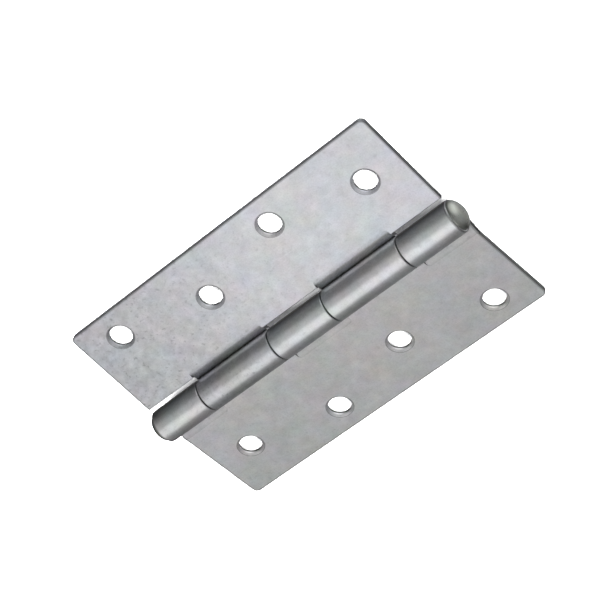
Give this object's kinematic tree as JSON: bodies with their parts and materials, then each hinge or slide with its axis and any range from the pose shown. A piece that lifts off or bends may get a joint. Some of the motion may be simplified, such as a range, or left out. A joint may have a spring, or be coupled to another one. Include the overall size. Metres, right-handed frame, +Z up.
{
  "type": "butt hinge",
  "caption": "Pressed-steel butt hinge lying open, two screw leaves with interleaved rolled knuckles turning on one fixed pin with domed ends.",
  "frame": {"origin": "the point of the table under the middle of the pin, with the hinge lying open and its barrel up", "axes": "+X along the pin, +Y towards the leaf with two knuckles, +Z up out of the faces the screws go in from"},
  "size_m": [0.1044, 0.0678, 0.0092],
  "materials": {
    "three_knuckle_leaf_zinc": "dull zinc plate, satin",
    "two_knuckle_leaf_zinc": "dull zinc plate, satin",
    "pin_steel": "zinc plate, slightly green and smoother than the leaves"
  },
  "bodies": {
    "three_knuckle_leaf": {"three_knuckle_leaf": "three_knuckle_leaf_zinc", "hinge_pin": "pin_steel"},
    "two_knuckle_leaf": {"two_knuckle_leaf": "two_knuckle_leaf_zinc"}
  },
  "joints": [
    {"name": "leaf_swing", "type": "hinge", "parent": "three_knuckle_leaf", "child": "two_knuckle_leaf", "pos_m": [0, 0, 0.00461], "axis": [1, 0, 0], "range_deg": [-118, 188]}
  ]
}
